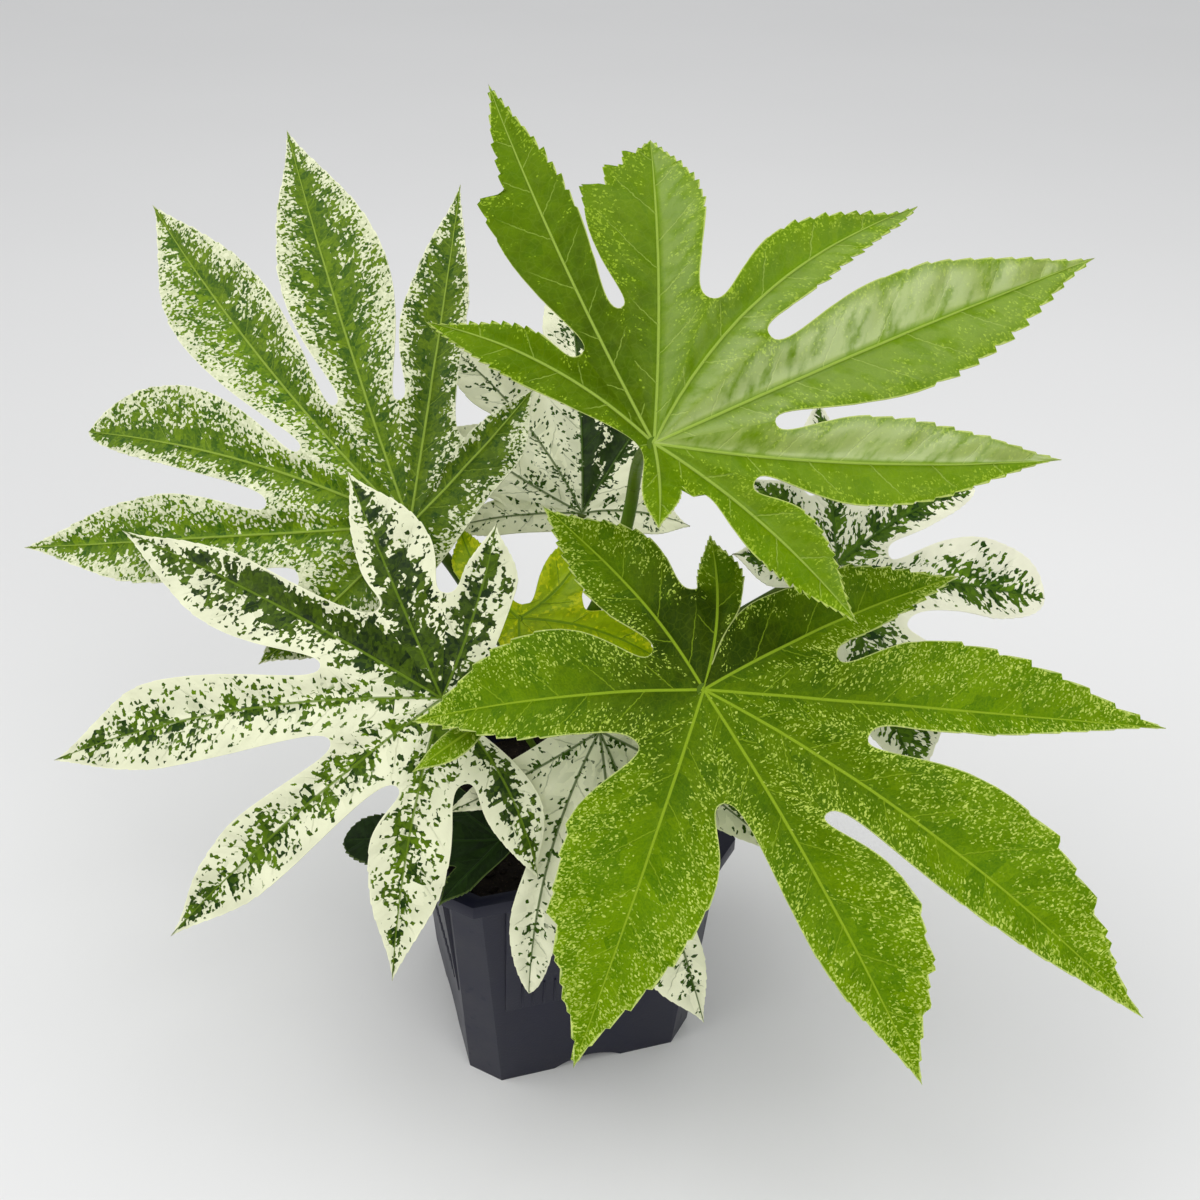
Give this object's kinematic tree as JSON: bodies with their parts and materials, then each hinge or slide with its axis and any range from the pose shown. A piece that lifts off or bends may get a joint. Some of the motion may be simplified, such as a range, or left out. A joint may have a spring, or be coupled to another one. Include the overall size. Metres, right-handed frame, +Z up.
{
  "type": "potted variegated fatsia plant",
  "caption": "Variegated fatsia with large lobed toothed leaves on long petioles, standing in a square tapered nursery pot filled with soil.",
  "frame": {"origin": "centre of the pot's base, on the floor", "axes": "+Z up; -Y is the pot's front side, which the picture shows; +X is to the right of that side"},
  "size_m": [0.3295, 0.3315, 0.3387],
  "materials": {
    "pot": "satin, dark slate",
    "soil": "crumbly potting soil",
    "stem": "green woody stem",
    "leaf_front_right": "glossy green with fine cream flecks",
    "leaf_top": "glossy green with fine cream flecks",
    "leaf_upper_left": "green, densely speckled with cream",
    "leaf_front_left": "cream white with dark green marks along the ribs",
    "leaf_back": "cream white with dark green marks along the ribs",
    "leaf_right": "cream white with dark green marks along the ribs",
    "leaf_young_centre": "thin young leaf, yellow green",
    "leaf_low_front": "cream white with dark green marks along the ribs",
    "leaf_low_left": "dark green",
    "leaf_young_narrow": "thin young leaf, yellow green"
  },
  "bodies": {
    "root": {"pot": "pot", "soil": "soil", "stem": "stem", "leaf_front_right": "leaf_front_right", "leaf_top": "leaf_top", "leaf_upper_left": "leaf_upper_left", "leaf_front_left": "leaf_front_left", "leaf_back": "leaf_back", "leaf_right": "leaf_right", "leaf_young_centre": "leaf_young_centre", "leaf_low_front": "leaf_low_front", "leaf_low_left": "leaf_low_left", "leaf_young_narrow": "leaf_young_narrow"}
  },
  "joints": []
}
